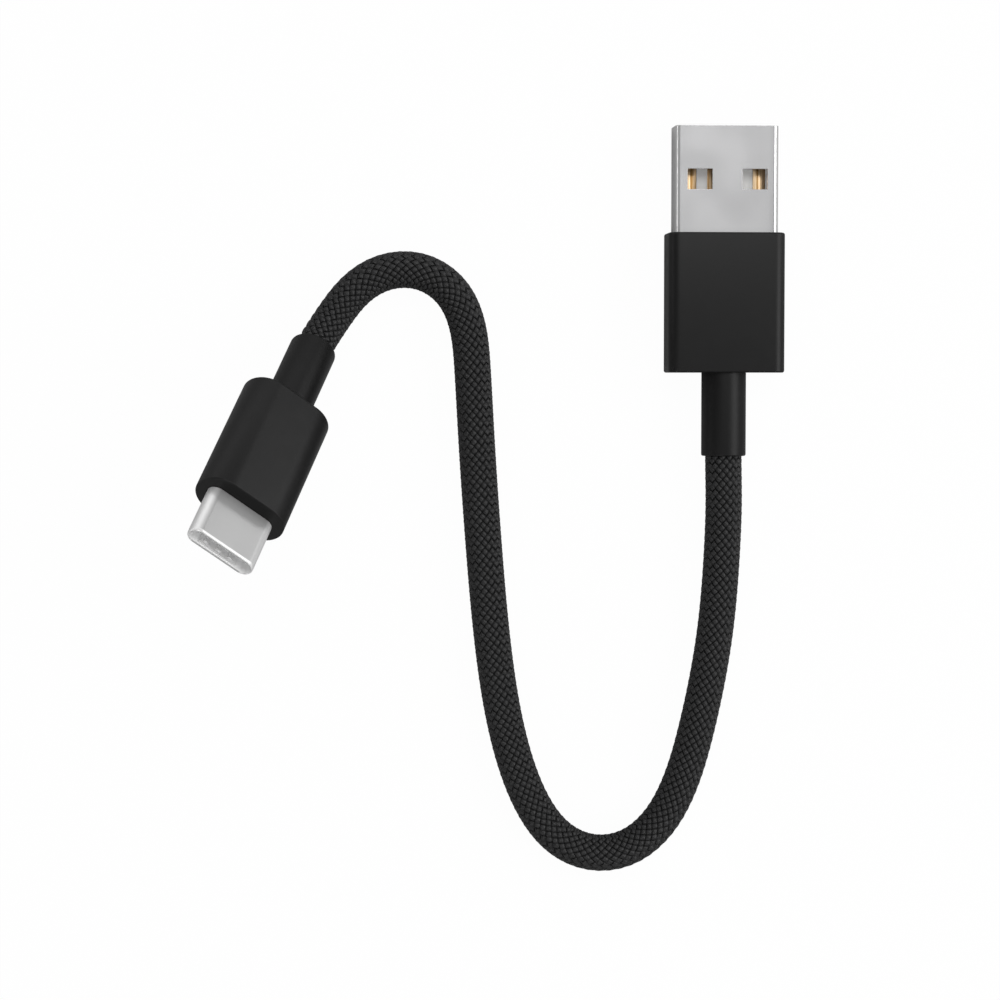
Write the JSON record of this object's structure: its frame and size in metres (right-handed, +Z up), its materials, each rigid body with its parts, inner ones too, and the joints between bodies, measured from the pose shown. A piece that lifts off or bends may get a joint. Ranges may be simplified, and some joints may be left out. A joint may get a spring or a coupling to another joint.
{
  "type": "charging cable",
  "caption": "Short woven charging cable with a flat rectangular plug at one end and a slim oval plug at the other, lying in a loose S-curve.",
  "frame": {"origin": "centre of the underside of the rectangular plug's housing, on the surface that the cable lies on", "axes": "+Y out of the rectangular plug's mouth along its axis, +Z up from the surface, +X across the plug"},
  "size_m": [0.0681, 0.087, 0.0274],
  "materials": {
    "shell_steel": "satin nickel-plated steel",
    "carrier_plastic": "smooth ivory moulding",
    "slot_plastic": "smooth pale grey moulding",
    "contact_gold": "gold-plated strip",
    "collar_brass": "plain brass",
    "can_steel": "tinned sheet",
    "mold_plastic": "waxy natural moulding",
    "housing_plastic": "fine matte black moulding",
    "relief_rubber": "matte black rubber",
    "board_laminate": "green solder mask",
    "resistor_black": "coated chip",
    "braid_fabric": "tight woven black yarn",
    "jacket_rubber": "smooth dark jacket",
    "shield_foil": "foil with drain strands",
    "wire_red": "smooth insulation",
    "wire_black": "smooth insulation",
    "wire_white": "smooth insulation",
    "wire_green": "smooth insulation",
    "copper": "bare stranded copper"
  },
  "bodies": {
    "root": {"type_a_shell": "shell_steel", "type_a_insulator": "carrier_plastic", "type_a_contact_power": "contact_gold", "type_a_contact_data_minus": "contact_gold", "type_a_contact_data_plus": "contact_gold", "type_a_contact_ground": "contact_gold", "type_a_rear_can": "can_steel", "type_a_inner_mold": "mold_plastic", "type_a_crimp_collar": "collar_brass", "type_a_housing": "housing_plastic", "type_a_strain_relief": "relief_rubber", "type_c_shell": "shell_steel", "type_c_insulator": "slot_plastic", "type_c_contacts_upper": "contact_gold", "type_c_contacts_lower": "contact_gold", "type_c_latch": "can_steel", "type_c_ground_spring_upper": "can_steel", "type_c_ground_spring_lower": "can_steel", "type_c_board": "board_laminate", "type_c_resistor": "resistor_black", "type_c_rear_can": "can_steel", "type_c_inner_mold": "mold_plastic", "type_c_crimp_collar": "collar_brass", "type_c_housing": "housing_plastic", "type_c_strain_relief": "relief_rubber", "cord_braid": "braid_fabric", "cord_jacket": "jacket_rubber", "cord_shield": "shield_foil", "wire_power": "wire_red", "wire_ground": "wire_black", "wire_data_minus": "wire_white", "wire_data_plus": "wire_green", "core_power": "copper", "core_ground": "copper", "core_data_minus": "copper", "core_data_plus": "copper"}
  },
  "joints": []
}
